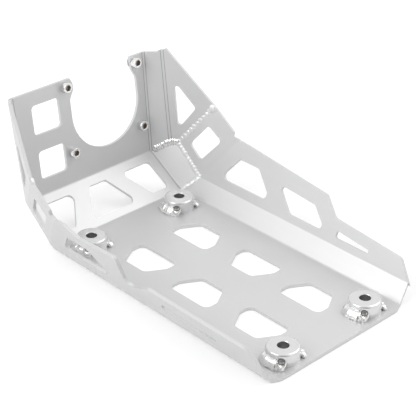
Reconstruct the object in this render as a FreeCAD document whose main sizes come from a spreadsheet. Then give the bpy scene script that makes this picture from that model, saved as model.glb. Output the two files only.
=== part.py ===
import FreeCAD, Part
import math
import os
import Sketcher
from FreeCAD import Placement, Rotation, Vector

os.makedirs("parts", exist_ok=True)
doc = FreeCAD.newDocument("skid_plate")

# Sizes in mm and degrees. X runs forward, Y to the left, Z up.
# The sheet is described by its inner faces, from the rear edge and the floor's upper face.
SIZES = {
    "sheet_thick": 3.0,
    "floor_length": 278.0,
    "floor_half_width": 77.0,
    "bevel_slant": 19.4,
    "bevel_angle": 50.0,
    "wall_lean": 22.5,
    "wall_fold_setback": 13.8,
    "bend_setback": 33.7,
    "bend_rise": 50.5,
    "fold_radius": 3.0,
    "ramp_run": 40.5,
    "ramp_rise": 28.6,
    "ramp_taper": 2.8,
    "panel_run": 12.5,
    "panel_height": 100.0,
    "panel_flare": 3.1,
    "front_setback": 1.0,
    "front_flare": 18.2,
    "front_rise": 70.1,
    "strip_foot_run": 15.8,
    "strip_foot_rise": 11.8,
    "strip_end_run": 15.1,
    "strip_end_rise": 3.9,
    "flange_end_run": 3.4,
    "flange_end_rise": 2.0,
    "window_rear_row": 64.9,
    "window_pitch": 69.3,
    "window_half_length": 23.4,
    "window_tip_half": 13.0,
    "window_inner_edge": 16.4,
    "window_outer_edge": 47.3,
    "window_shoulder": 13.0,
    "window_corner": 6.2,
    "boss_front_setback": 23.2,
    "boss_front_inset": 23.4,
    "boss_rear": 19.0,
    "boss_rear_inset": 27.3,
    "boss_diameter": 29.0,
    "boss_height": 12.0,
    "boss_chamfer": 1.5,
    "boss_bore": 10.0,
    "long_bead_width": 5.5,
    "long_bead_height": 8.0,
    "long_bead_middle": 88.0,
    "long_bead_sweep": 96.0,
    "short_bead_width": 5.0,
    "short_bead_height": 4.0,
    "short_bead_middle": 230.0,
    "short_bead_sweep": 36.0,
    "panel_rim": 100.7,
    "notch_centre": -25.8,
    "notch_height": 62.8,
    "notch_radius": 40.0,
    "screw_thread": 6.0,
    "screw_clearance": 0.6,
    "screw_head": 10.0,
    "screw_head_height": 6.0,
    "screw_socket": 5.0,
    "screw_socket_depth": 3.0,
    "screw_spread": 84.0,
    "screw_rise": 64.0,
    "screw_low": 30.3,
    "screw_left": 18.6,
    "screw_spare": 1.5,
    "washer_outer": 12.0,
    "washer_bore": 6.4,
    "washer_thick": 1.6,
    "nut_flats": 10.0,
    "nut_height": 5.0,
    "nut_clearance": 0.1,
    "bead_radius": 2.6,
    "bead_sunk": 1.0,
    "bead_swell": 0.3,
    "bead_gap": 3.0,
}
sheet = doc.addObject("Spreadsheet::Sheet", "sizes")
for row, (alias, value) in enumerate(SIZES.items(), start=1):
    sheet.set("A%d" % row, alias)
    sheet.set("B%d" % row, str(value))
    sheet.setAlias("B%d" % row, alias)
doc.recompute()


def size(alias):
    return float(sheet.get(alias))


thick = size("sheet_thick")
length = size("floor_length")
half_width = size("floor_half_width")
bevel = math.radians(size("bevel_angle"))
lean = math.radians(size("wall_lean"))
fold_y = half_width + size("bevel_slant") * math.cos(bevel)
fold_z = size("bevel_slant") * math.sin(bevel)
# The origin is on the underside, midway between the four boss bores.
boss_front = length - size("boss_front_setback")
origin_shift = Vector(-(boss_front + size("boss_rear")) / 2, 0, thick)


# Planes and frames of the folded facets
def unit(vector):
    return vector / vector.Length


def mirrored(point):
    return Vector(point.x, -point.y, point.z)


class Facet:
    """A flat facet by three points of its inner face; along runs from first to second."""

    def __init__(self, first, second, third, start=None):
        self.start = start or first
        self.along = unit(second - first)
        normal = unit(self.along.cross(third - first))
        centre = Vector(length / 2, 0, size("panel_height") / 2)
        self.out = normal if (first - centre).dot(normal) > 0 else -normal
        across = unit(self.out.cross(self.along))
        self.across = across if (third - first).dot(across) > 0 else -across

    def at(self, u, v, depth=0.0):
        return self.start + self.along * u + self.across * v + self.out * depth

    def y_at(self, x, z):
        run = (x - self.start.x) * self.out.x + (z - self.start.z) * self.out.z
        return Vector(x, self.start.y - run / self.out.y, z)

    def place_of(self, point):
        offset = point - self.start
        return offset.dot(self.along), offset.dot(self.across)


def corner(first, second, third):
    """The point where three facets meet."""
    total = Vector(0, 0, 0)
    for one, two, three in ((first, second, third), (second, third, first), (third, first, second)):
        total = total + two.out.cross(three.out) * one.out.dot(one.start)
    return total / first.out.dot(second.out.cross(third.out))


def wall_point(x, rise):
    return Vector(x, fold_y + rise * math.sin(lean), fold_z + rise * math.cos(lean))


# Corner points of the left half, on the inner faces
floor_corner = Vector(length, half_width, 0)
wall_foot = wall_point(length - size("wall_fold_setback"), 0)
bend_top = wall_point(wall_foot.x - size("bend_setback"), size("bend_rise"))
ramp_top = floor_corner + Vector(size("ramp_run"), -size("ramp_taper"), size("ramp_rise"))
panel_top = ramp_top + Vector(size("panel_run"), size("panel_flare"), size("panel_height"))
front_top = wall_foot + Vector(-size("front_setback"), size("front_flare"), size("front_rise"))

# Facets; the wall's frame starts at its front foot and runs to the rear
floor = Facet(Vector(0, 0, 0), Vector(length, 0, 0), floor_corner)
side_bevel = Facet(Vector(0, half_width, 0), floor_corner, wall_foot)
wall = Facet(wall_foot, wall_point(0, 0), bend_top)
front = Facet(wall_foot, bend_top, front_top)
ramp_side = Facet(floor_corner, wall_foot, ramp_top)
strip_foot = ramp_side.y_at(ramp_top.x - size("strip_foot_run"), ramp_top.z + size("strip_foot_rise"))
strip = Facet(ramp_top, panel_top, strip_foot)
strip_end = strip.y_at(panel_top.x - size("strip_end_run"), panel_top.z + size("strip_end_rise"))
flange = Facet(strip_foot, strip_end, front_top)
flange_end = flange.y_at(strip_end.x - size("flange_end_run"), strip_end.z + size("flange_end_rise"))
front_foot = corner(ramp_side, front, flange)
ramp = Facet(floor_corner, mirrored(floor_corner), ramp_top, Vector(length, 0, 0))
panel = Facet(ramp_top, mirrored(ramp_top), panel_top, Vector(ramp_top.x, 0, ramp_top.z))
SIDE_FACETS = (side_bevel, wall, front, ramp_side, strip, flange)


# Solids used to shape the sheet; cutters reach FAR, and the sheet is first made REAR_SPARE too long
FAR = 140.0
REAR_SPARE = 15.0


def mirror_solid(solid):
    return solid.mirror(Vector(0, 0, 0), Vector(0, 1, 0))


def rounded_wire(points, radii):
    edges = []
    ends = []
    count = len(points)
    for i, point in enumerate(points):
        before = unit(points[i - 1] - point)
        after = unit(points[(i + 1) % count] - point)
        half = before.getAngle(after) / 2
        reach = radii[i] / math.tan(half)
        if radii[i] == 0:
            ends.append((point, None, point))
            continue
        middle = point + unit(before + after) * (radii[i] / math.sin(half) - radii[i])
        ends.append((point + before * reach, middle, point + after * reach))
    for i, (enter, middle, leave) in enumerate(ends):
        if middle:
            edges.append(Part.Arc(enter, middle, leave).toShape())
        following = ends[(i + 1) % count][0]
        edges.append(Part.makeLine(leave, following))
    return Part.Wire(edges)


def prism(facet, outline, radius=0.0, inward=12.0, outward=12.0):
    """A cutter square to a facet; a point may carry its own corner radius as a third value."""
    points = [facet.at(item[0], item[1], -inward) for item in outline]
    radii = [item[2] if len(item) > 2 else radius for item in outline]
    return Part.Face(rounded_wire(points, radii)).extrude(facet.out * (inward + outward))


def beyond(facet, offset):
    """Everything on the outer side of a facet."""
    reach = 900.0
    block = Part.makeBox(reach, reach, reach, Vector(-reach / 2, -reach / 2, 0))
    block.Placement = Placement(facet.start + facet.out * offset, Rotation(Vector(0, 0, 1), facet.out))
    return block


def hollow(offset):
    """The space inside the tray, its faces moved out by the offset."""
    spare = 50.0
    reach = Vector(panel_top.x + spare, front_top.y + spare, panel_top.z + spare)
    corner_at = Vector(-REAR_SPARE, -reach.y, -spare)
    block = Part.makeBox(reach.x + REAR_SPARE, 2 * reach.y, reach.z + spare, corner_at)
    for facet in (floor, ramp, panel):
        block = block.cut(beyond(facet, offset))
    for facet in SIDE_FACETS:
        outside = beyond(facet, offset)
        block = block.cut(outside)
        block = block.cut(mirror_solid(outside))
    return block


def fold_edges():
    """Inner fold lines with the two facets that meet there; the first item is the fold's line."""
    rear = Vector(1 - REAR_SPARE, 0, 0)
    return (
        ((Vector(0, half_width, 0) + rear, floor_corner), floor, side_bevel),
        ((wall_point(0, 0) + rear, wall_foot), side_bevel, wall),
        ((wall_foot, bend_top + (bend_top - wall_foot) * 0.4), wall, front),
        ((floor_corner, ramp_top), ramp, ramp_side),
        ((ramp_top, panel_top + (panel_top - ramp_top) * 0.1), panel, strip),
        ((strip_foot, strip_end + (strip_end - strip_foot) * 0.1), strip, flange),
    )


def corner_sliver(line, first, second, radius, depth):
    """The space between a sharp fold and its round, as a prism along the fold."""
    spread = (first.out + second.out) / (1 + first.out.dot(second.out))
    sharp = line[0] + spread * depth
    centre = sharp - spread * radius
    tip = sharp + unit(spread)
    enter = centre + first.out * radius
    leave = centre + second.out * radius
    middle = centre + unit(spread) * radius
    edges = [Part.Arc(enter, middle, leave).toShape()]
    edges += [Part.makeLine(leave, tip), Part.makeLine(tip, enter)]
    return Part.Face(Part.Wire(edges)).extrude(line[1] - line[0])


def round_folds(solid):
    inner_radius = size("fold_radius")
    folds = [(fold, True) for fold in fold_edges()]
    across = (mirrored(floor_corner), floor_corner)
    folds.append(((across, floor, ramp), False))
    folds.append((((mirrored(ramp_top), ramp_top), ramp, panel), False))
    for (line, first, second), both in folds:
        fill = corner_sliver(line, first, second, inner_radius, 0.0)
        shave = corner_sliver(line, first, second, inner_radius + thick, thick)
        fills = [fill, mirror_solid(fill)] if both else [fill]
        shaves = [shave, mirror_solid(shave)] if both else [shave]
        solid = solid.fuse(fills).cut(shaves)
    return solid


# Outlines, each in its facet's own frame; a third value is that corner's radius
RIGHT_STEPS = ((150, 39.4, 4), (166, 23.5, 7))
RIGHT_REAR = ((20.3, 17.4, 5), (3.6, -2.6))
LEFT_STEPS = ((44, 50.6), (62, 42.2), (110.8, 46.6, 3), (109.3, 9.8, 7), (140.8, 26.2, 9))
LEFT_REAR = ((13.1, 24.6, 7), (2.6, 14.1, 5), (2.6, -2.6))
WALL_WINDOW = ((91.7, 8.9), (23.7, 8.9), (41.2, 33.3), (67.2, 33.3))
RIGHT_WINDOW = ((160.5, 7.1, 4), (116, 7.1, 6), (94.5, 28.9, 3), (141, 25.9, 4))
RIGHT_SLOT = ((210.4, 6.8, 1.6), (172.4, 7.1, 2.2), (172.4, 13.6, 2.2), (210.4, 10.3, 1.6))
LEFT_SLOT = ((216.2, 8.1, 1.5), (153.4, 7.6, 3), (153.4, 15.6, 3), (216.2, 11.8, 1.5))
FRONT_WINDOW = ((43.6, 10.6), (42, 31.6), (13, 31.8), (11.6, 12))
FLANGE_WINDOW = ((13.6, 9.2), (63.9, 9.2), (36, 30.4))
RAMP_MIDDLE = ((-10, 40.5), (10, 40.5), (24.3, 13.6), (21.5, 7.7), (-21.5, 7.7), (-24.3, 13.6))
RAMP_SIDE = ((27.6, 40.7, 5.5), (64.6, 40.7, 4.5), (67.6, 8.6, 4), (46.9, 8.6, 4))
PANEL_UPPER = ((27.0, 58.6), (57.8, 58.6), (57.8, 87.3), (27.0, 87.3))
PANEL_LOWER = ((27.0, 15.1), (56.9, 15.1), (56.9, 42.8), (27.0, 42.8))
REAR_EDGE = ((6.2, 91), (3.2, 77), (0, 70, 12))


def seen_from_left(outline):
    """Panel and ramp frames run to the right, so a left-hand outline changes sign."""
    return tuple((-item[0],) + tuple(item[1:]) for item in outline)


def over_wall(steps, rear_points):
    """Everything above a wall's rim, from just past the front bend to behind the rear edge."""
    bend = (size("bend_setback"), size("bend_rise"))
    back = wall_foot.x
    past = (bend[0] - 8, bend[1] + 0.8)
    points = [past, bend] + list(steps)
    points += [(back - item[0],) + tuple(item[1:]) for item in rear_points]
    points += [(back + 20, points[-1][1]), (back + 20, FAR), (past[0], FAR)]
    return prism(wall, points)


def over_front():
    bend = front.place_of(bend_top)
    top = front.place_of(front_top)
    points = ((bend[0] - 0.3, -3), bend, top, (top[0] + 0.2, top[1] + 3), (FAR, top[1] + 3), (FAR, -3))
    return prism(front, points)


def over_flange():
    tip = flange.place_of(front_top)
    peak = flange.place_of(flange_end)
    end = flange.place_of(strip_end)
    past = (tip[0] - (peak[0] - tip[0]) / 20, tip[1] - (peak[1] - tip[1]) / 20)
    return prism(flange, (past, tip, peak, end, (end[0] + 0.4, -4), (FAR, -4), (FAR, 60)))


def over_strip():
    low = strip.place_of(panel_top)[0]
    end = strip.place_of(strip_end)
    points = ((low, -1.5), (low, 0), end, (end[0] + 0.5, end[1] + 3), (FAR, end[1] + 3), (FAR, -1.5))
    return prism(strip, points)


def rim_cutters():
    shared = [over_front(), over_flange(), over_strip()]
    flat_rear = [(x, -y) + tuple(extra) for x, y, *extra in reversed(REAR_EDGE)]
    rear = prism(floor, REAR_EDGE + tuple(flat_rear) + ((-20, -91), (-20, 91)), inward=15.5)
    sides = [over_wall(LEFT_STEPS, LEFT_REAR), mirror_solid(over_wall(RIGHT_STEPS, RIGHT_REAR)), rear]
    return sides + shared + [mirror_solid(item) for item in shared]


def panel_cutters():
    centre = -size("notch_centre")
    height = size("notch_height")
    radius = size("notch_radius")
    round_part = Part.makeCylinder(radius, 24, panel.at(centre, height, -12), panel.out)
    left = centre - radius
    right = centre + radius
    rim = size("panel_rim")
    top = rim + 30
    ears = (
        (left, height), (left, 81, 6), (left + 5.6, 90, 6), (left + 4.8, 96, 3), (left - 12.8, top),
        (right + 3.5, top), (right - 5.6, 96, 3), (right - 4.2, 87.5, 6), (right, 79, 6), (right, height),
    )
    over_top = ((-90, rim), (90, rim), (90, top), (-90, top))
    windows = [prism(panel, seen_from_left(item), 4.0) for item in (PANEL_UPPER, PANEL_LOWER)]
    holes = []
    for y, rise in screw_places():
        hole_radius = (size("screw_thread") + size("screw_clearance")) / 2
        holes.append(Part.makeCylinder(hole_radius, 24, panel.at(-y, rise, -12), panel.out))
    return [round_part, prism(panel, ears), prism(panel, over_top)] + windows + holes


def screw_places():
    left = size("screw_left")
    low = size("screw_low")
    high = low + size("screw_rise")
    return [(y, rise) for y in (left, left - size("screw_spread")) for rise in (low, high)]


def floor_window(row, side):
    """One pointed window; the wide end of the middle row is outermost, of the others innermost."""
    x = size("window_rear_row") + row * size("window_pitch")
    inner = size("window_inner_edge")
    outer = size("window_outer_edge")
    wide, tip, shoulder = inner, outer, inner + size("window_shoulder")
    if row == 1:
        wide, tip, shoulder = outer, inner, outer - size("window_shoulder")
    half = size("window_half_length")
    small = size("window_tip_half")
    outline = [(half, wide), (half, shoulder), (small, tip), (-small, tip), (-half, shoulder), (-half, wide)]
    return prism(floor, [(x + u, v * side) for u, v in outline], size("window_corner"))


def boss_places():
    front_y = half_width - size("boss_front_inset")
    rear_y = half_width - size("boss_rear_inset")
    rear_x = size("boss_rear")
    return {
        "front_left": Vector(boss_front, front_y, 0),
        "front_right": Vector(boss_front, -front_y, 0),
        "rear_left": Vector(rear_x, rear_y, 0),
        "rear_right": Vector(rear_x, -rear_y, 0),
    }


def opening_cutters():
    both = [prism(wall, WALL_WINDOW, 5.0), prism(front, FRONT_WINDOW, 4.0)]
    both += [prism(flange, FLANGE_WINDOW, 3.2), prism(ramp, seen_from_left(RAMP_SIDE))]
    single = [prism(ramp, RAMP_MIDDLE, 4.0), prism(wall, LEFT_SLOT)]
    single.append(mirror_solid(prism(wall, RIGHT_WINDOW)))
    single.append(mirror_solid(prism(wall, RIGHT_SLOT)))
    for row in range(3):
        for side in (1, -1):
            single.append(floor_window(row, side))
    for place in boss_places().values():
        single.append(Part.makeCylinder(size("boss_bore") / 2, 20, place - Vector(0, 0, 10)))
    return both + [mirror_solid(item) for item in both] + single


# The folded plate: one sheet, cut out and folded
inside = hollow(0.0)
plate_shape = round_folds(hollow(thick).cut(inside))
plate_shape = plate_shape.cut(rim_cutters() + panel_cutters() + opening_cutters()).removeSplitter()
# The offcut above the rims is a solid of its own and is dropped.
plate_shape = min(plate_shape.Solids, key=lambda solid: solid.BoundBox.ZMin)
plate = doc.addObject("Part::Feature", "folded_plate")
plate.Label = "folded_plate"
plate.Shape = plate_shape
plate.Placement = Placement(origin_shift, Rotation())


# Seam welds on the inner side, where the folded flaps meet
def bead(runs):
    """Round bars along a seam, sunk a little into the fold, with a swelling where two of them meet."""
    radius = size("bead_radius")
    bars = []
    for first, second, facets in runs:
        start = first + unit(facets[0].out + facets[1].out) * size("bead_sunk")
        if bars:
            bars.append(Part.makeSphere(radius + size("bead_swell"), start))
        bars.append(Part.makeCylinder(radius, (second - first).Length, start, second - first))
    return bars[0].fuse(bars[1:]) if len(bars) > 1 else bars[0]


def toward(first, second):
    return first + unit(second - first) * size("bead_gap")


seams = {
    "ramp_top": (
        (toward(ramp_top, strip_foot), strip_foot, (ramp_side, strip)),
        (strip_foot, front_foot, (ramp_side, flange)),
    ),
    "flange": ((front_foot, toward(front_top, front_foot), (flange, front)),),
    "front": ((wall_foot, front_foot, (ramp_side, front)),),
    "bevel": ((wall_foot, toward(floor_corner, wall_foot), (ramp_side, side_bevel)),),
}
laid = []
for name, runs in seams.items():
    shape = bead(runs).common(inside).cut([plate_shape] + laid).removeSplitter()
    shape = shape.Solids[0] if len(shape.Solids) == 1 else shape
    laid.append(shape)
    for side, solid in (("left", shape), ("right", mirror_solid(shape))):
        weld = doc.addObject("Part::Feature", "weld_%s_%s" % (name, side))
        weld.Label = "weld_%s_%s" % (name, side)
        weld.Shape = solid
        weld.Placement = Placement(origin_shift, Rotation())


# Sketch helpers for the small turned and hexagonal pieces
def new_body(label, place, rotation=Rotation()):
    body = doc.addObject("PartDesign::Body", label)
    body.Label = label
    body.Placement = Placement(place, rotation)
    return body


def flat_sketch(body, name, height=None, role="XY_Plane"):
    drawing = body.newObject("Sketcher::SketchObject", name)
    plane = [item for item in body.Origin.OriginFeatures if item.Role == role][0]
    drawing.AttachmentSupport = [(plane, "")]
    drawing.MapMode = "FlatFace"
    if height:
        drawing.setExpression("AttachmentOffset.Base.z", height)
    return drawing


def draw_circle(drawing, diameter, guide=False):
    index = drawing.addGeometry(Part.Circle(Vector(0, 0, 0), Vector(0, 0, 1), 2.0), guide)
    drawing.addConstraint(Sketcher.Constraint("Coincident", index, 3, -1, 1))
    rule = drawing.addConstraint(Sketcher.Constraint("Diameter", index, 4.0))
    drawing.setExpression("Constraints[%d]" % rule, diameter)
    return index


def draw_hexagon(drawing, flats):
    guide = draw_circle(drawing, "%s / cos(30 deg)" % flats, True)
    turns = [math.radians(angle) for angle in range(0, 360, 60)]
    corners = [Vector(2 * math.cos(turn), 2 * math.sin(turn), 0) for turn in turns]
    sides = []
    for i, point in enumerate(corners):
        sides.append(drawing.addGeometry(Part.LineSegment(point, corners[(i + 1) % 6]), False))
    for i, side in enumerate(sides):
        drawing.addConstraint(Sketcher.Constraint("Coincident", side, 2, sides[(i + 1) % 6], 1))
        drawing.addConstraint(Sketcher.Constraint("PointOnObject", side, 1, guide))
    for side in sides[1:]:
        drawing.addConstraint(Sketcher.Constraint("Equal", sides[0], side))
    drawing.addConstraint(Sketcher.Constraint("Horizontal", sides[1]))


def draw_fillet(drawing, radius, leg):
    """A right triangle standing on the base, its upright side at one radius."""
    points = [Vector(2, 0, 0), Vector(3, 0, 0), Vector(2, 1, 0)]
    base, slope, upright = [
        drawing.addGeometry(Part.LineSegment(points[i], points[(i + 1) % 3]), False) for i in range(3)
    ]
    for first, second in ((base, slope), (slope, upright), (upright, base)):
        drawing.addConstraint(Sketcher.Constraint("Coincident", first, 2, second, 1))
    drawing.addConstraint(Sketcher.Constraint("PointOnObject", base, 1, -1))
    drawing.addConstraint(Sketcher.Constraint("Horizontal", base))
    drawing.addConstraint(Sketcher.Constraint("Vertical", upright))
    place = drawing.addConstraint(Sketcher.Constraint("DistanceX", -1, 1, base, 1, 2.0))
    width = drawing.addConstraint(Sketcher.Constraint("DistanceX", base, 1, base, 2, 1.0))
    height = drawing.addConstraint(Sketcher.Constraint("DistanceY", upright, 2, upright, 1, 1.0))
    for rule, value in ((place, radius), (width, leg + "_width"), (height, leg + "_height")):
        drawing.setExpression("Constraints[%d]" % rule, value)


def pad(body, drawing, name, height, reverse=False):
    feature = body.newObject("PartDesign::Pad", name)
    feature.Profile = drawing
    feature.setExpression("Length", height)
    feature.Reversed = reverse
    doc.recompute()
    return feature


def chamfer_circle(body, base, name, rim, amount):
    """Chamfer the circular edge of one radius at one height."""
    for index, edge in enumerate(base.Shape.Edges, start=1):
        curve = edge.Curve
        if not isinstance(curve, Part.Circle):
            continue
        if abs(curve.Radius - rim[0]) < 1e-4 and abs(curve.Center.z - rim[1]) < 1e-4:
            feature = body.newObject("PartDesign::Chamfer", name)
            feature.Base = (base, ["Edge%d" % index])
            feature.setExpression("Size", amount)
            doc.recompute()
            return feature
    raise ValueError("no edge for " + name)


# Mounting bosses, each a turned ring with a long and a short fillet weld
for name, place in boss_places().items():
    body = new_body("boss_" + name, place + origin_shift)
    ring = flat_sketch(body, "boss_ring_" + name)
    draw_circle(ring, "sizes.boss_diameter")
    draw_circle(ring, "sizes.boss_bore")
    solid = pad(body, ring, "boss_pad_" + name, "sizes.boss_height")
    rim = (size("boss_diameter") / 2, size("boss_height"))
    chamfer_circle(body, solid, "boss_chamfer_" + name, rim, "sizes.boss_chamfer")
    for index, kind in enumerate(("long_bead", "short_bead"), start=1):
        label = "weld_boss_%s_%d" % (name, index)
        turn = Rotation(Vector(0, 0, 1), size(kind + "_middle"))
        arc = new_body(label, place + origin_shift, turn)
        section = flat_sketch(arc, "bead_section_" + label, role="XZ_Plane")
        draw_fillet(section, "sizes.boss_diameter / 2", "sizes." + kind)
        turned = arc.newObject("PartDesign::Revolution", "bead_turned_" + label)
        turned.Profile = section
        turned.ReferenceAxis = (section, ["V_Axis"])
        turned.Midplane = True
        turned.setExpression("Angle", "sizes." + kind + "_sweep")
        doc.recompute()


# Screws through the front panel, with a washer and nut on its outer face
def face_turn(direction):
    return Rotation(Vector(0, 0, 1), direction)


grip = "sizes.sheet_thick + sizes.washer_thick + sizes.nut_height + sizes.screw_spare"
for index, (y, rise) in enumerate(screw_places(), start=1):
    seat = panel.at(-y, rise) + origin_shift
    back = seat + panel.out * thick
    screw = new_body("screw_%d" % index, seat, face_turn(-panel.out))
    head_drawing = flat_sketch(screw, "screw_head_%d" % index)
    draw_circle(head_drawing, "sizes.screw_head")
    head = pad(screw, head_drawing, "screw_head_pad_%d" % index, "sizes.screw_head_height")
    shank_drawing = flat_sketch(screw, "screw_shank_%d" % index)
    draw_circle(shank_drawing, "sizes.screw_thread")
    shank = pad(screw, shank_drawing, "screw_shank_pad_%d" % index, grip, True)
    socket_drawing = flat_sketch(screw, "screw_socket_%d" % index, "sizes.screw_head_height")
    draw_hexagon(socket_drawing, "sizes.screw_socket")
    socket = screw.newObject("PartDesign::Pocket", "screw_socket_cut_%d" % index)
    socket.Profile = socket_drawing
    socket.setExpression("Length", "sizes.screw_socket_depth")
    doc.recompute()
    if socket.Shape.Volume > shank.Shape.Volume - 1:
        raise ValueError("socket cut goes the wrong way")

    washer = new_body("washer_%d" % index, back, face_turn(panel.out))
    washer_drawing = flat_sketch(washer, "washer_ring_%d" % index)
    draw_circle(washer_drawing, "sizes.washer_outer")
    draw_circle(washer_drawing, "sizes.washer_bore")
    pad(washer, washer_drawing, "washer_pad_%d" % index, "sizes.washer_thick")

    nut = new_body("nut_%d" % index, back + panel.out * size("washer_thick"), face_turn(panel.out))
    nut_drawing = flat_sketch(nut, "nut_outline_%d" % index)
    draw_hexagon(nut_drawing, "sizes.nut_flats")
    draw_circle(nut_drawing, "sizes.screw_thread + sizes.nut_clearance")
    pad(nut, nut_drawing, "nut_pad_%d" % index, "sizes.nut_height")

# Checks on every object, then one file for each piece
doc.recompute()
for item in doc.Objects:
    if "Invalid" in item.State or "Error" in item.State:
        raise ValueError("bad state: " + item.Name)
pieces = [item for item in doc.Objects if item.TypeId in ("Part::Feature", "PartDesign::Body")]
for item in pieces:
    if item.Shape.isNull() or not item.Shape.isValid():
        raise ValueError("bad shape: " + item.Label)
    if len(item.Shape.Solids) != 1:
        raise ValueError("not one solid: %s has %d" % (item.Label, len(item.Shape.Solids)))
    item.Shape.exportStep("parts/%s.step" % item.Label)
print("pieces", len(pieces), "plate volume", round(plate.Shape.Volume, 1))
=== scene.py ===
import math

import bpy
from mathutils import Matrix, Vector


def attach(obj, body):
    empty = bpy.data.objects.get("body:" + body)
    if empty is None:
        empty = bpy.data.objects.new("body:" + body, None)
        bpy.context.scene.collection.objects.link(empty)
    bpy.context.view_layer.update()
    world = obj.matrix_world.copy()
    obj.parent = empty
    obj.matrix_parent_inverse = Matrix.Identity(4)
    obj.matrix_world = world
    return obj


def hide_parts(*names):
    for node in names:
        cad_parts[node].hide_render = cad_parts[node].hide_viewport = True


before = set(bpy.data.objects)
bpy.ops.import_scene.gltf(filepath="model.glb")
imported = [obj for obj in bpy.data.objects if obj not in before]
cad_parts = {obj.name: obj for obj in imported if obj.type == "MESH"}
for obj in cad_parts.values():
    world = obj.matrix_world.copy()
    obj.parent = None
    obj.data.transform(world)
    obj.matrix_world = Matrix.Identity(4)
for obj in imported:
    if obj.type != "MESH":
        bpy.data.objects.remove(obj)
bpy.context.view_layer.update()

# Places and sizes are in mm, in the frame's own axes, unless a name ends in _M, for metres.
MM = 0.001


# ---- Camera ----

# The photograph's place and direction, and its angle of view from side to side in radians
CAMERA_PLACE_M = (-0.7097, 0.69747, 0.6403)
CAMERA_FORWARD = (0.6283, -0.5991, -0.4963)
CAMERA_RIGHT = (-0.6880, -0.7257, 0.0049)
CAMERA_ANGLE = 0.30671
CAMERA_SENSOR = 36.0


def axes_turn(first, second, third):
    """The turn that takes the x, y and z axes to the three directions."""
    return Matrix((first, second, third)).transposed().to_4x4()


def place_camera():
    forward = Vector(CAMERA_FORWARD).normalized()
    right = Vector(CAMERA_RIGHT)
    right = (right - forward * right.dot(forward)).normalized()
    up = right.cross(forward)
    data = bpy.data.cameras.new("photo_camera")
    data.sensor_fit = "HORIZONTAL"
    data.sensor_width = CAMERA_SENSOR
    data.angle = CAMERA_ANGLE
    camera = bpy.data.objects.new("photo_camera", data)
    camera.matrix_world = Matrix.Translation(CAMERA_PLACE_M) @ axes_turn(right, up, -forward)
    bpy.context.collection.objects.link(camera)
    bpy.context.scene.camera = camera


# ---- Nodes ----

def add_node(tree, kind, fixed=None, **settings):
    """A node with its settings, then its fixed inputs by name or number."""
    node = tree.nodes.new(kind)
    for name, value in settings.items():
        setattr(node, name, value)
    for socket, value in (fixed or {}).items():
        node.inputs[socket].default_value = value
    return node


def add_math(tree, operation, fixed=None):
    return add_node(tree, "ShaderNodeMath", fixed, operation=operation)


def add_vector_math(tree, operation, fixed=None):
    return add_node(tree, "ShaderNodeVectorMath", fixed, operation=operation)


def wire(tree, *joins):
    """Each join is a node and its output, then a node and its input."""
    for source, output, target, socket in joins:
        tree.links.new(source.outputs[output], target.inputs[socket])


def new_group(name, inputs, outputs):
    group = bpy.data.node_groups.new(name, "ShaderNodeTree")
    for direction, sockets in (("INPUT", inputs), ("OUTPUT", outputs)):
        for label, kind in sockets:
            group.interface.new_socket(
                name=label, in_out=direction, socket_type="NodeSocket" + kind)
    return group, add_node(group, "NodeGroupInput"), add_node(group, "NodeGroupOutput")


def new_material(name):
    material = bpy.data.materials.new(name)
    material.use_nodes = True
    tree = material.node_tree
    tree.nodes.clear()
    shader = add_node(tree, "ShaderNodeBsdfPrincipled")
    output = add_node(tree, "ShaderNodeOutputMaterial")
    wire(tree, (shader, "BSDF", output, "Surface"))
    return material, tree, shader


# ---- Metals ----

# How far the fine grain is drawn out along the tray, as a share of its own scale
GRAIN_DRAWN = (0.06, 1.0, 1.0)
GRAIN_STRENGTH = 0.25


def metal_finish_group():
    """Mottled metal with a fine drawn grain: a colour, a roughness and a height."""
    group, source, sink = new_group(
        "metal_finish",
        (
            ("Vector", "Vector"), ("Light Tone", "Color"), ("Dark Tone", "Color"),
            ("Mottle Scale", "Float"), ("Grain Scale", "Float"),
            ("Roughness Low", "Float"), ("Roughness High", "Float"),
        ),
        (("Colour", "Color"), ("Roughness", "Float"), ("Height", "Float")),
    )
    mottle = add_node(group, "ShaderNodeTexNoise", {"Detail": 4.0})
    grain = add_node(group, "ShaderNodeTexNoise", {"Detail": 2.0})
    stretch = add_node(group, "ShaderNodeMapping", {"Scale": GRAIN_DRAWN}, vector_type="POINT")
    mix = add_node(group, "ShaderNodeMix", data_type="RGBA")
    rough = add_node(group, "ShaderNodeMapRange")
    both = add_math(group, "ADD")
    mean = add_math(group, "MULTIPLY", {1: 0.5})
    wire(
        group,
        (source, "Vector", mottle, "Vector"),
        (source, "Mottle Scale", mottle, "Scale"),
        (source, "Vector", stretch, "Vector"),
        (stretch, "Vector", grain, "Vector"),
        (source, "Grain Scale", grain, "Scale"),
        (mottle, "Fac", both, 0),
        (grain, "Fac", both, 1),
        (both, 0, mean, 0),
        (mean, 0, mix, "Factor"),
        (source, "Dark Tone", mix, "A"),
        (source, "Light Tone", mix, "B"),
        (grain, "Fac", rough, "Value"),
        (source, "Roughness Low", rough, "To Min"),
        (source, "Roughness High", rough, "To Max"),
        (mix, "Result", sink, "Colour"),
        (rough, "Result", sink, "Roughness"),
        (grain, "Fac", sink, "Height"),
    )
    return group


FINISH = metal_finish_group()


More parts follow.
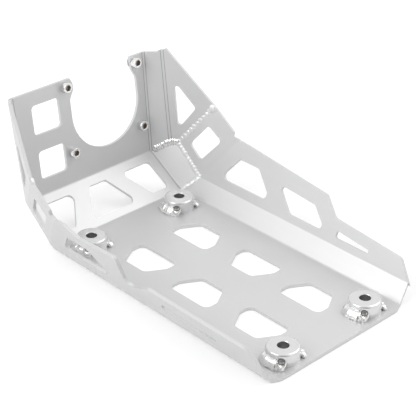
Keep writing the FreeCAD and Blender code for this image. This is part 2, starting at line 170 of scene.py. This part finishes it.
def metal_nodes(name, light, dark, mottle, grain, roughness, metallic=1.0, bump=0.02):
    """A metal and the nodes that further effects join: place, finish, height and shader."""
    material, tree, shader = new_material(name)
    shader.inputs["Metallic"].default_value = metallic
    where = add_node(tree, "ShaderNodeTexCoord")
    low, high = roughness
    finish = add_node(tree, "ShaderNodeGroup", node_tree=FINISH)
    for label, value in (
        ("Light Tone", (*light, 1)),
        ("Dark Tone", (*dark, 1)),
        ("Mottle Scale", mottle),
        ("Grain Scale", grain),
        ("Roughness Low", low),
        ("Roughness High", high),
    ):
        finish.inputs[label].default_value = value
    height = add_node(
        tree, "ShaderNodeBump", {"Strength": GRAIN_STRENGTH, "Distance": bump * MM})
    wire(
        tree,
        (where, "Object", finish, "Vector"),
        (finish, "Colour", shader, "Base Color"),
        (finish, "Roughness", shader, "Roughness"),
        (finish, "Height", height, "Height"),
        (height, "Normal", shader, "Normal"),
    )
    return material, where, finish, height, shader


def metal(name, light, dark, **finish):
    return metal_nodes(name, light, dark, **finish)[0]


def dress(obj, material):
    obj.data.materials.clear()
    obj.data.materials.append(material)


WELD_BEAD = metal(
    "weld_bead", (0.9, 0.9, 0.9), (0.7, 0.69, 0.68),
    mottle=500.0, grain=1500.0, roughness=(0.17, 0.3), bump=0.01)
SATIN_BEAD = metal(
    "satin_bead", (0.92, 0.92, 0.92), (0.7, 0.7, 0.7),
    mottle=500.0, grain=1500.0, roughness=(0.36, 0.48), metallic=0.5, bump=0.01)
# The crater's hollow: a dark finish that paints the shade inside the hollow
SHADED_HOLLOW = metal(
    "shaded_hollow", (0.36, 0.355, 0.35), (0.22, 0.215, 0.21),
    mottle=400.0, grain=1500.0, roughness=(0.3, 0.45))
BRIGHT_ZINC = metal(
    "bright_zinc", (0.88, 0.88, 0.88), (0.76, 0.76, 0.76),
    mottle=600.0, grain=2500.0, roughness=(0.15, 0.26))
# The bore: a darker finish that paints the shade inside the hole
SHADED_BORE = metal(
    "shaded_bore", (0.48, 0.48, 0.485), (0.38, 0.38, 0.385),
    mottle=300.0, grain=1500.0, roughness=(0.4, 0.55))
# The screws' hex sockets: a dark finish that paints the shade inside the socket
SHADED_SOCKET = metal(
    "shaded_socket", (0.5, 0.44, 0.39), (0.34, 0.29, 0.25),
    mottle=600.0, grain=2500.0, roughness=(0.3, 0.45))


# ---- Folded sheet ----

# Painted shade along the bends at the front corners: dark lines that stand partly for the shade in
# the folds and partly for the press's marks.
# The columns are the two ends of the bend's line, how far off it the shade runs, and half its
# width. Both halves of the tray share them.
BENDS = (
    ((141.1, 77.0, 3.0), (181.6, 74.2, 31.6), 0.0, 1.6),
    ((165.8, 86.0, 43.4), (179.0, 87.8, 135.5), 1.5, 0.6),
    ((181.6, 74.2, 31.6), (194.1, 77.3, 131.6), 1.4, 0.6),
)
# The colour that the painted shade along the bends multiplies the sheet by
BEND_SHADE = (0.48, 0.48, 0.49, 1)


def bend_shade_group():
    """Painted shade along a bend, partly also the mark a press leaves: strongest at one distance
    from the bend's line.
    """
    group, source, sink = new_group(
        "bend_shade",
        (
            ("Vector", "Vector"), ("Start", "Vector"), ("Direction", "Vector"),
            ("Length", "Float"), ("Distance", "Float"), ("Half Width", "Float"),
        ),
        (("Mark", "Float"),),
    )
    offset = add_vector_math(group, "SUBTRACT")
    along = add_vector_math(group, "PROJECT")
    away = add_vector_math(group, "SUBTRACT")
    reach = add_vector_math(group, "LENGTH")
    short = add_math(group, "SUBTRACT")
    gap = add_math(group, "ABSOLUTE")
    mark = add_node(
        group, "ShaderNodeMapRange", {"To Min": 1.0, "To Max": 0.0},
        interpolation_type="SMOOTHSTEP")
    travel = add_vector_math(group, "DOT_PRODUCT")
    after_start = add_math(group, "GREATER_THAN", {1: 0.0})
    before_end = add_math(group, "LESS_THAN")
    within = add_math(group, "MULTIPLY")
    kept = add_math(group, "MULTIPLY")
    wire(
        group,
        (source, "Vector", offset, 0),
        (source, "Start", offset, 1),
        (offset, "Vector", along, 0),
        (source, "Direction", along, 1),
        (offset, "Vector", away, 0),
        (along, "Vector", away, 1),
        (away, "Vector", reach, 0),
        (reach, "Value", short, 0),
        (source, "Distance", short, 1),
        (short, 0, gap, 0),
        (gap, 0, mark, "Value"),
        (source, "Half Width", mark, "From Max"),
        (offset, "Vector", travel, 0),
        (source, "Direction", travel, 1),
        (travel, "Value", after_start, 0),
        (travel, "Value", before_end, 0),
        (source, "Length", before_end, 1),
        (after_start, 0, within, 0),
        (before_end, 0, within, 1),
        (mark, "Result", kept, 0),
        (within, 0, kept, 1),
        (kept, 0, sink, "Mark"),
    )
    return group


def bend_shade(tree, group, half, start, end, distance, half_width):
    line = Vector(end) - Vector(start)
    mark = add_node(tree, "ShaderNodeGroup", node_tree=group)
    for label, value in (
        ("Start", Vector(start) * MM),
        ("Direction", line.normalized()),
        ("Length", line.length * MM),
        ("Distance", distance * MM),
        ("Half Width", half_width * MM),
    ):
        mark.inputs[label].default_value = value
    wire(tree, (half, "Vector", mark, "Vector"))
    return mark


def folded_sheet():
    """The rolled sheet with painted shade along its sharpest bends."""
    material, where, finish, _, shader = metal_nodes(
        "rolled_sheet", (0.685, 0.685, 0.69), (0.63, 0.63, 0.635),
        mottle=25.0, grain=700.0, roughness=(0.38, 0.5), metallic=0.5)
    tree = material.node_tree
    half = add_vector_math(tree, "ABSOLUTE")
    wire(tree, (where, "Object", half, 0))
    group = bend_shade_group()
    strongest = None
    for bend in BENDS:
        mark = bend_shade(tree, group, half, *bend)
        if strongest is None:
            strongest = mark
        else:
            more = add_math(tree, "MAXIMUM")
            wire(tree, (strongest, 0, more, 0), (mark, 0, more, 1))
            strongest = more
    # The painted shade along the bends darkens the sheet's colour
    darken = add_node(tree, "ShaderNodeMix", data_type="RGBA", blend_type="MULTIPLY")
    darken.inputs["B"].default_value = BEND_SHADE
    wire(
        tree,
        (strongest, 0, darken, "Factor"),
        (finish, "Colour", darken, "A"),
        (darken, "Result", shader, "Base Color"),
    )
    return material


# ---- Modelling; every piece is made about the origin and then set in its place ----

# A solid turned form starts and ends at this radius, where its points merge on the axis
AXIS = 0.001
MERGE_TURNED = 0.004
MERGE_CARVED = 0.005
SMOOTH_BELOW = math.radians(35)


def start_fresh():
    if bpy.context.object and bpy.context.object.mode == "EDIT":
        bpy.ops.object.mode_set(mode="OBJECT")
    bpy.ops.object.select_all(action="DESELECT")


def pick(obj):
    """Only this object selected, and active."""
    start_fresh()
    obj.select_set(True)
    bpy.context.view_layer.objects.active = obj


def turned(name, rings, sides=64, closed=True):
    """A turned form: a ring of edges drawn from radius to radius along its axis."""
    start_fresh()
    radius, height = rings[0]
    bpy.ops.mesh.primitive_circle_add(
        vertices=sides, radius=radius * MM, location=(0, 0, height * MM))
    obj = bpy.context.object
    obj.name = name
    bpy.ops.object.transform_apply(location=True, rotation=False, scale=False)
    bpy.ops.object.mode_set(mode="EDIT")
    bpy.ops.mesh.select_all(action="SELECT")
    for next_radius, next_height in list(rings[1:]) + ([rings[0]] if closed else []):
        rise = (0, 0, (next_height - height) * MM)
        bpy.ops.mesh.extrude_region_move(TRANSFORM_OT_translate={"value": rise})
        ratio = next_radius / radius
        bpy.ops.transform.resize(
            value=(ratio, ratio, 1), center_override=(0, 0, next_height * MM))
        radius, height = next_radius, next_height
    bpy.ops.mesh.select_all(action="SELECT")
    bpy.ops.mesh.remove_doubles(threshold=MERGE_TURNED * MM)
    bpy.ops.mesh.normals_make_consistent(inside=False)
    bpy.ops.object.mode_set(mode="OBJECT")
    bpy.ops.object.shade_smooth_by_angle(angle=SMOOTH_BELOW)
    return obj


def apply_modifiers(obj):
    pick(obj)
    for modifier in list(obj.modifiers):
        bpy.ops.object.modifier_apply(modifier=modifier.name)


def discard(*pieces):
    for piece in pieces:
        bpy.data.objects.remove(piece, do_unlink=True)


def carve(obj, tool, operation="DIFFERENCE"):
    """The tool's form cut from the piece; the cut faces keep the tool's material."""
    modifier = obj.modifiers.new("carve", "BOOLEAN")
    modifier.operation = operation
    modifier.solver = "EXACT"
    modifier.material_mode = "TRANSFER"
    modifier.object = tool
    apply_modifiers(obj)
    discard(tool)
    bpy.ops.object.mode_set(mode="EDIT")
    bpy.ops.mesh.select_all(action="SELECT")
    bpy.ops.mesh.remove_doubles(threshold=MERGE_CARVED * MM)
    bpy.ops.mesh.dissolve_degenerate(threshold=MERGE_CARVED * MM)
    bpy.ops.mesh.normals_make_consistent(inside=False)
    bpy.ops.object.mode_set(mode="OBJECT")


def set_in_place(obj, matrix):
    pick(obj)
    obj.matrix_world = matrix
    bpy.ops.object.transform_apply(location=True, rotation=True, scale=True)


def own_copy(obj, name):
    twin = obj.copy()
    twin.data = obj.data.copy()
    twin.name = name
    bpy.context.collection.objects.link(twin)
    return twin


def settle(obj, node, material=None):
    """The piece rides with the plate and stands for its CAD node."""
    if material:
        dress(obj, material)
    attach(obj, "root")
    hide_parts(node)


# ---- Turned bosses ----

# The feet of the bosses, and their outline as radius and height: a bore with a broken edge, a flat
# top, a wide rounded chamfer and a straight side
BOSSES = {
    "front_left": (117.9, 53.6, 3.0),
    "front_right": (117.9, -53.6, 3.0),
    "rear_left": (-117.9, 49.7, 3.0),
    "rear_right": (-117.9, -49.7, 3.0),
}
BOSS_RADIUS = 14.5
BORE_RADIUS = 5.0
BORE_WALL = BORE_RADIUS + 0.05
BOSS_SIDES = 96
BOSS_RINGS = (
    (BORE_RADIUS, 0.0), (BORE_RADIUS, 11.6), (5.35, 12.0), (12.1, 12.0), (13.0, 11.83),
    (13.8, 11.3), (14.33, 10.5), (BOSS_RADIUS, 9.6), (BOSS_RADIUS, 0.0),
)
LATHE_SCALE = 350.0
LATHE_WANDER = 0.4
LATHE_STRENGTH = 0.12
LATHE_DEPTH = 0.03


def turned_metal(name, place):
    """Lathe-turned metal: fine rings about the boss's own axis over the plain finish."""
    material, where, _, height, shader = metal_nodes(
        name, (0.74, 0.74, 0.745), (0.68, 0.68, 0.685),
        mottle=120.0, grain=900.0, roughness=(0.2, 0.28), metallic=0.65, bump=0.005)
    tree = material.node_tree
    centre = add_node(
        tree, "ShaderNodeMapping", {"Location": Vector(place) * -MM}, vector_type="POINT")
    rings = add_node(
        tree, "ShaderNodeTexWave", {"Scale": LATHE_SCALE, "Distortion": LATHE_WANDER},
        wave_type="RINGS", rings_direction="Z")
    lines = add_node(
        tree, "ShaderNodeBump", {"Strength": LATHE_STRENGTH, "Distance": LATHE_DEPTH * MM})
    wire(
        tree,
        (where, "Object", centre, "Vector"),
        (centre, "Vector", rings, "Vector"),
        (rings, "Fac", lines, "Height"),
        (height, "Normal", lines, "Normal"),
        (lines, "Normal", shader, "Normal"),
    )
    return material


def make_bosses():
    """The bore keeps the second finish, a darker one that paints the shade inside the hole; the
    first gives way to each boss's own turned metal.
    """
    pattern = turned("boss", BOSS_RINGS, BOSS_SIDES)
    pattern.data.materials.append(SHADED_BORE)
    pattern.data.materials.append(SHADED_BORE)
    for face in pattern.data.polygons:
        face.material_index = 1 if face.center.xy.length < BORE_WALL * MM else 0
    for name, place in BOSSES.items():
        boss = own_copy(pattern, "turned_boss_" + name)
        set_in_place(boss, Matrix.Translation(Vector(place) * MM))
        boss.data.materials[0] = turned_metal("turned_boss_" + name, place)
        settle(boss, "boss_" + name)
    discard(pattern)


# ---- Weld beads, laid ripple by ripple and melted together ----

# Along a seam: its points, the way out of the tray, the ripples' spacing, their half lengths along
# the seam, across it and out of it, the blob at the seam's end, and the bead's finish
SEAMS = {
    "ramp_top": dict(
        points=((179.2, 76.0, 33.4), (165.8, 86.0, 43.4), (158.3, 89.5, 44.4)),
        out=(0.42, 0.87, -0.24), pitch=2.5, halves=(2.3, 4.2, 1.8), blob=0, finish=WELD_BEAD,
    ),
    "flange": dict(
        points=((158.3, 89.5, 44.4), (128.0, 106.7, 85.7)),
        out=(0.312, 0.936, -0.161), pitch=4.8, halves=(3.6, 3.4, 0.9), blob=4.2,
        finish=SATIN_BEAD,
    ),
    "front": dict(
        points=((127.3, 89.5, 17.9), (158.3, 89.5, 44.4)),
        out=(0.275, 0.905, -0.323), pitch=3.4, halves=(3.0, 3.3, 1.5), blob=0, finish=SATIN_BEAD,
    ),
    "bevel": dict(
        points=((127.3, 89.5, 17.9), (139.4, 78.6, 4.9)),
        out=(0.174, 0.828, -0.533), pitch=2.6, halves=(2.5, 3.3, 1.8), blob=0, finish=SATIN_BEAD,
    ),
}
SEAM_SUNK = 0.4
SEAM_STRAY = 0.15
SEAM_LEAN = -0.26
SEAM_VOXEL = 0.4
BLOB_HALF_HEIGHT = 2.0
RIPPLE_SQUASH = 0.92
RIPPLE_SOFTNESS = 0.2
RIPPLE_SWELL = 0.14

# Round a boss: the fillet's middle and sweep in degrees, its leg along the floor and up the boss
BOSS_BEADS = ((94.0, 70.0, 6.0, 8.0), (236.0, 11.0, 6.0, 3.9))
BOSS_RIPPLE_STEP = 10.0
BOSS_RIPPLE_ALONG = 3.4
BOSS_RIPPLE_OUT = 2.2
BOSS_RIPPLE_REACH = 0.42
BOSS_RIPPLE_RISE = 0.44
BOSS_RIPPLE_LEAN = -0.2
BOSS_RIPPLE_SWAY = 0.15
BOSS_VOXEL = 0.45

# The crater where the long fillet stops: a ring of small balls with a hollow cut into it. It faces
# away from the boss, up, and a little on along the fillet.
CRATER_REACH = 17.4
CRATER_HEIGHT = 5.8
CRATER_OUTWARD, CRATER_ALONG, CRATER_UP = 0.8, 0.3, 0.6
CRATER_BALLS = 15
CRATER_BALL = 1.4
CRATER_RING = 3.1
HOLLOW_OUT = 0.9
HOLLOW_ACROSS = 1.7
HOLLOW_HALVES = (3.5, 2.9, 2.6)


def wobble(index, phase):
    """Two slow waves, so that no two ripples in a row are quite alike."""
    return math.sin(index * 2.4 + phase) * 0.6 + math.sin(index * 5.1 + phase * 3) * 0.4


def swelling(index, phase):
    return 1 + RIPPLE_SWELL * wobble(index, phase)


def ripple_pattern():
    start_fresh()
    bpy.ops.mesh.primitive_uv_sphere_add(segments=16, ring_count=10, radius=MM)
    pattern = bpy.context.object
    bpy.ops.object.mode_set(mode="EDIT")
    bpy.ops.mesh.select_all(action="SELECT")
    bpy.ops.transform.resize(value=(1, 1, RIPPLE_SQUASH), center_override=(0, 0, 0))
    bpy.ops.mesh.vertices_smooth(factor=RIPPLE_SOFTNESS)
    bpy.ops.object.mode_set(mode="OBJECT")
    return pattern


def melt_together(name, pattern, places, voxel):
    """Copies of one ripple at the places, joined and remeshed to one skin."""
    ripples = []
    for matrix in places:
        ripple = own_copy(pattern, name)
        ripple.matrix_world = matrix
        ripples.append(ripple)
    start_fresh()
    for ripple in ripples:
        ripple.select_set(True)
    bpy.context.view_layer.objects.active = ripples[0]
    bpy.ops.object.transform_apply(location=True, rotation=True, scale=True)
    bpy.ops.object.join()
    bead = bpy.context.object
    bead.name = name
    skin = bead.modifiers.new("skin", "REMESH")
    skin.mode = "VOXEL"
    skin.voxel_size = voxel * MM
    skin.use_smooth_shade = True
    soften = bead.modifiers.new("soften", "SMOOTH")
    soften.factor = 0.5
    soften.iterations = 2
    apply_modifiers(bead)
    return bead


def ripple_place(centre, along, out, halves, lean):
    """A ripple's matrix: half lengths along the bead, across it and out of it."""
    across = out.cross(along).normalized()
    turn = axes_turn(along, across, out) @ Matrix.Rotation(lean, 4, "Y")
    return Matrix.Translation(centre * MM) @ turn @ Matrix.Diagonal((*halves, 1))


def seam_places(points, out, pitch, halves, blob, phase):
    places = []
    for start, end in zip(points, points[1:]):
        along = (end - start).normalized()
        inward = -(out - along * out.dot(along)).normalized()
        for i in range(int((end - start).length / pitch) + 1):
            k = i + phase
            swell = swelling(k, 0.7)
            lift = SEAM_STRAY * wobble(k, 2.0) - SEAM_SUNK
            centre = start + along * (i * pitch) + inward * lift
            swollen = (halves[0], halves[1] * swell, halves[2] * swell)
            places.append(ripple_place(centre, along, inward, swollen, SEAM_LEAN))
    if blob:
        places.append(ripple_place(end, along, inward, (blob, blob, BLOB_HALF_HEIGHT), 0.0))
    return places


def make_seams(pattern):
    for index, (name, seam) in enumerate(SEAMS.items()):
        for side, sign in (("left", 1), ("right", -1)):
            points = [Vector((x, y * sign, z)) for x, y, z in seam["points"]]
            out = Vector(seam["out"])
            out.y *= sign
            places = seam_places(
                points, out, seam["pitch"], seam["halves"], seam["blob"], index * 7 + sign)
            bead = melt_together("bead_%s_%s" % (name, side), pattern, places, SEAM_VOXEL)
            settle(bead, "weld_%s_%s" % (name, side), seam["finish"])


def round_boss(angle):
    """The way out from a boss's axis and the way on around it, at an angle in radians."""
    outward = Vector((math.cos(angle), math.sin(angle), 0))
    return outward, Vector((-outward.y, outward.x, 0))


def boss_bead_places(place, middle, sweep, foot, rise, phase):
    count = max(1, int(sweep / BOSS_RIPPLE_STEP))
    slope = Vector((-foot, rise)).normalized()
    half_slope = math.hypot(foot, rise) / 2
    places = []
    for i in range(count + 1):
        k = i + phase
        outward, along = round_boss(math.radians(middle - sweep / 2 + sweep * i / count))
        swell = swelling(k, 1.3)
        reach = BOSS_RADIUS + foot * BOSS_RIPPLE_REACH
        centre = Vector(place) + outward * reach + Vector((0, 0, rise * BOSS_RIPPLE_RISE))
        out = (outward * slope.y - Vector((0, 0, slope.x))).normalized()
        halves = (BOSS_RIPPLE_ALONG, half_slope * swell, BOSS_RIPPLE_OUT * swell)
        lean = BOSS_RIPPLE_LEAN + BOSS_RIPPLE_SWAY * wobble(k, 0.2)
        places.append(ripple_place(centre, along, out, halves, lean))
    return places


def crater_places(place, angle):
    """The matrices of the crater's ring of balls, and that of its hollow."""
    outward, along = round_boss(angle)
    out = outward * CRATER_OUTWARD + along * CRATER_ALONG + Vector((0, 0, CRATER_UP))
    out = out.normalized()
    across = out.cross(along).normalized()
    along = across.cross(out)
    centre = Vector(place) + outward * CRATER_REACH + Vector((0, 0, CRATER_HEIGHT))
    ball = Matrix.Diagonal((CRATER_BALL, CRATER_BALL, CRATER_BALL, 1))
    ring = []
    for i in range(CRATER_BALLS):
        turn = math.radians(360 / CRATER_BALLS * i)
        spot = centre + (along * math.cos(turn) + across * math.sin(turn)) * CRATER_RING
        ring.append(Matrix.Translation(spot * MM) @ ball)
    middle = centre + out * HOLLOW_OUT + across * HOLLOW_ACROSS
    turn = axes_turn(along, across, out)
    hollow = Matrix.Translation(middle * MM) @ turn @ Matrix.Diagonal((*HOLLOW_HALVES, 1))
    return ring, hollow


def hollow_out(bead, pattern, place):
    """The crater's hollow cut with a dark finish that paints the shade in the hollow; each of its
    faces gets a point of its own.
    """
    tool = own_copy(pattern, "hollow")
    set_in_place(tool, place)
    dress(tool, SHADED_HOLLOW)
    carve(bead, tool)
    bead.active_material_index = 1
    bpy.ops.object.mode_set(mode="EDIT")
    bpy.ops.mesh.select_all(action="DESELECT")
    bpy.ops.object.material_slot_select()
    bpy.ops.mesh.poke()
    bpy.ops.object.mode_set(mode="OBJECT")


def make_boss_beads(pattern):
    for number, (name, place) in enumerate(BOSSES.items()):
        for index, (middle, sweep, foot, rise) in enumerate(BOSS_BEADS, start=1):
            places = boss_bead_places(place, middle, sweep, foot, rise, number * 5 + index)
            long_bead = index == 1
            if long_bead:
                ring, hollow = crater_places(place, math.radians(middle + sweep / 2))
                places += ring
            bead = melt_together("bead_boss_%s_%d" % (name, index), pattern, places, BOSS_VOXEL)
            dress(bead, WELD_BEAD)
            if long_bead:
                hollow_out(bead, pattern, hollow)
            settle(bead, "weld_boss_%s_%d" % (name, index))


def make_welds():
    ripple = ripple_pattern()
    make_seams(ripple)
    make_boss_beads(ripple)
    discard(ripple)


# ---- Socket head screws, washers and nuts ----

# The seats are where the screws' axes meet the panel's inner face. Outlines are radius and height.
SCREW_SEATS = (
    (185.36, 18.6, 61.67),
    (193.30, 18.6, 125.17),
    (185.36, -65.4, 61.67),
    (193.30, -65.4, 125.17),
)
PANEL_OUT = Vector((0.99228, 0.0, -0.12403))
SHEET_THICK = 3.0

SCREW_SIDES = 64
HEAD_RADIUS = 5.0
HEAD_RINGS = (
    (AXIS, 6.0), (4.35, 6.0), (4.8, 5.87), (HEAD_RADIUS, 5.5), (HEAD_RADIUS, 0.4), (4.8, 0.0),
)
KNURL_FROM = HEAD_RADIUS - 0.01
KNURL_SHRINK = 0.975
SHANK_RADIUS = 3.0
GROOVE_RADIUS = 2.55
GROOVES = 6
SHANK_END = -6.2
SHANK_TIP = ((2.3, -6.4), (AXIS, -6.4))
SOCKET_RADIUS = 2.887
SOCKET_RINGS = ((AXIS, 3.0), (SOCKET_RADIUS, 3.0), (SOCKET_RADIUS, 5.7), (3.35, 6.3), (AXIS, 6.3))

NUT_RINGS = ((AXIS, 0.0), (4.1, 0.0), (4.65, 0.3), (4.65, 1.7), (4.1, 2.0), (AXIS, 2.0))
NUT_FLATS_RINGS = ((AXIS, -1.0), (4.62, -1.0), (4.62, 3.0), (AXIS, 3.0))
NUT_BORE_RINGS = ((AXIS, -0.1), (3.3, -0.1), (3.05, 0.2), (3.05, 1.8), (3.3, 2.1), (AXIS, 2.1))

WASHER_THICK = 1.0
WASHER_RINGS = (
    (3.2, 0.1), (3.2, 0.9), (3.3, WASHER_THICK), (5.85, WASHER_THICK),
    (6.0, 0.85), (6.0, 0.15), (5.85, 0.0), (3.3, 0.0),
)


def knurl(screw):
    """Every other line of points down the head's side drawn in towards the axis."""
    for vertex in screw.data.vertices:
        angle = math.degrees(math.atan2(vertex.co.y, vertex.co.x))
        odd = round(angle / (360 / SCREW_SIDES)) % 2
        if odd and math.hypot(vertex.co.x, vertex.co.y) > KNURL_FROM * MM:
            vertex.co.x *= KNURL_SHRINK
            vertex.co.y *= KNURL_SHRINK


def screw_pattern():
    rings = list(HEAD_RINGS) + [(SHANK_RADIUS, -0.01)]
    for groove in range(GROOVES):
        rings.append((SHANK_RADIUS, -1.0 - groove))
        rings.append((GROOVE_RADIUS, max(-1.5 - groove, SHANK_END)))
    screw = turned("screw", rings + list(SHANK_TIP), SCREW_SIDES, closed=False)
    knurl(screw)
    dress(screw, BRIGHT_ZINC)
    # The socket's faces keep the painted shade of the recess
    socket = turned("socket", SOCKET_RINGS, 6, closed=False)
    dress(socket, SHADED_SOCKET)
    carve(screw, socket)
    return screw


def nut_pattern():
    nut = turned("nut", NUT_RINGS, 64, closed=False)
    carve(nut, turned("flats", NUT_FLATS_RINGS, 6, closed=False), "INTERSECT")
    carve(nut, turned("bore", NUT_BORE_RINGS, 48, closed=False))
    return nut


def facing(place, direction):
    turn = Vector((0, 0, 1)).rotation_difference(direction)
    return Matrix.Translation(Vector(place) * MM) @ turn.to_matrix().to_4x4()


def make_fasteners():
    screw = screw_pattern()
    nut = nut_pattern()
    washer = turned("washer", WASHER_RINGS)
    for index, seat in enumerate(SCREW_SEATS, start=1):
        back = Vector(seat) + PANEL_OUT * SHEET_THICK
        for pattern, kind, place, direction, material in (
            (screw, "screw", seat, -PANEL_OUT, None),
            (washer, "washer", back, PANEL_OUT, BRIGHT_ZINC),
            (nut, "nut", back + PANEL_OUT * WASHER_THICK, PANEL_OUT, BRIGHT_ZINC),
        ):
            piece = own_copy(pattern, "%s_piece_%d" % (kind, index))
            set_in_place(piece, facing(place, direction))
            settle(piece, "%s_%d" % (kind, index), material)
    discard(screw, nut, washer)


# ---- Studio: a white world, a pale floor and soft lamps ----

WORLD_FILL = 0.7
WORLD_WHITE = 1.0
# Polished metal sees a darker patch of the world this way. It starts and ends at these cosines.
DUSK_TOWARD = (-0.66, 0.63, 0.41)
DUSK_STARTS, DUSK_FULL = 0.76, 0.92
DUSK_LEVEL = 0.25

FLOOR_SIZE_M = 12.0
FLOOR_HEIGHT_M = -0.0002
FLOOR_TONE = 0.7
FLOOR_ROUGHNESS = 0.9
# The glow that brings the floor to the photograph's white without lighting the plate
FLOOR_LIFT = 0.37

# Each lamp's name, place, width and power in watts
LAMPS_M = (
    ("top_lamp", (-0.45, -1.05, 1.33), 1.2, 8.5),
    ("left_lamp", (0.3, 1.15, 0.95), 1.0, 10.0),
    ("rear_lamp", (-1.6, 0.2, 1.0), 1.0, 0.6),
)


def seen_or_mirrored(tree):
    """1 for what the camera or a gloss sees, and 0 for light that falls on the object."""
    path = add_node(tree, "ShaderNodeLightPath")
    seen = add_math(tree, "MAXIMUM")
    wire(tree, (path, "Is Camera Ray", seen, 0), (path, "Is Glossy Ray", seen, 1))
    return path, seen


def white_world():
    world = bpy.data.worlds.new("studio")
    bpy.context.scene.world = world
    world.use_nodes = True
    tree = world.node_tree
    tree.nodes.clear()
    path, seen = seen_or_mirrored(tree)
    white = (1, 1, 1, 1)
    fill = add_node(tree, "ShaderNodeBackground", {"Color": white, "Strength": WORLD_FILL})
    shown = add_node(tree, "ShaderNodeBackground", {"Color": white})
    mix = add_node(tree, "ShaderNodeMixShader")
    output = add_node(tree, "ShaderNodeOutputWorld")
    way = add_node(tree, "ShaderNodeTexCoord")
    toward = add_vector_math(tree, "DOT_PRODUCT", {1: DUSK_TOWARD})
    dusk = add_node(
        tree, "ShaderNodeMapRange",
        {
            "From Min": DUSK_STARTS, "From Max": DUSK_FULL,
            "To Min": WORLD_WHITE, "To Max": DUSK_LEVEL,
        },
        interpolation_type="SMOOTHSTEP")
    kept = add_math(tree, "MAXIMUM")
    wire(
        tree,
        (way, "Generated", toward, 0),
        (toward, "Value", dusk, "Value"),
        (dusk, "Result", kept, 0),
        (path, "Is Camera Ray", kept, 1),
        (kept, 0, shown, "Strength"),
        (seen, 0, mix, "Fac"),
        (fill, 0, mix, 1),
        (shown, 0, mix, 2),
        (mix, 0, output, "Surface"),
    )


def pale_floor():
    """The floor lies just under the plate, so that the two never share a plane."""
    start_fresh()
    bpy.ops.mesh.primitive_plane_add(size=FLOOR_SIZE_M, location=(0, 0, FLOOR_HEIGHT_M))
    ground = bpy.context.object
    ground.name = "floor"
    material, tree, shader = new_material("pale_floor")
    shader.inputs["Base Color"].default_value = (FLOOR_TONE, FLOOR_TONE, FLOOR_TONE, 1)
    shader.inputs["Roughness"].default_value = FLOOR_ROUGHNESS
    shader.inputs["Specular IOR Level"].default_value = 0.0
    shader.inputs["Emission Color"].default_value = (1, 1, 1, 1)
    _, seen = seen_or_mirrored(tree)
    lift = add_math(tree, "MULTIPLY", {1: FLOOR_LIFT})
    wire(tree, (seen, 0, lift, 0), (lift, 0, shader, "Emission Strength"))
    dress(ground, material)


def soft_lamps():
    for name, place, wide, power in LAMPS_M:
        light = bpy.data.lights.new(name, "AREA")
        light.size = wide
        light.energy = power
        lamp = bpy.data.objects.new(name, light)
        lamp.location = place
        lamp.rotation_euler = (-Vector(place)).to_track_quat("-Z", "Y").to_euler()
        bpy.context.collection.objects.link(lamp)


# ---- The plate dressed, the other pieces made, and the studio set up ----

place_camera()
dress(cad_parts["folded_plate"], folded_sheet())
make_bosses()
make_welds()
make_fasteners()
white_world()
pale_floor()
soft_lamps()
bpy.context.scene.view_settings.view_transform = "Standard"
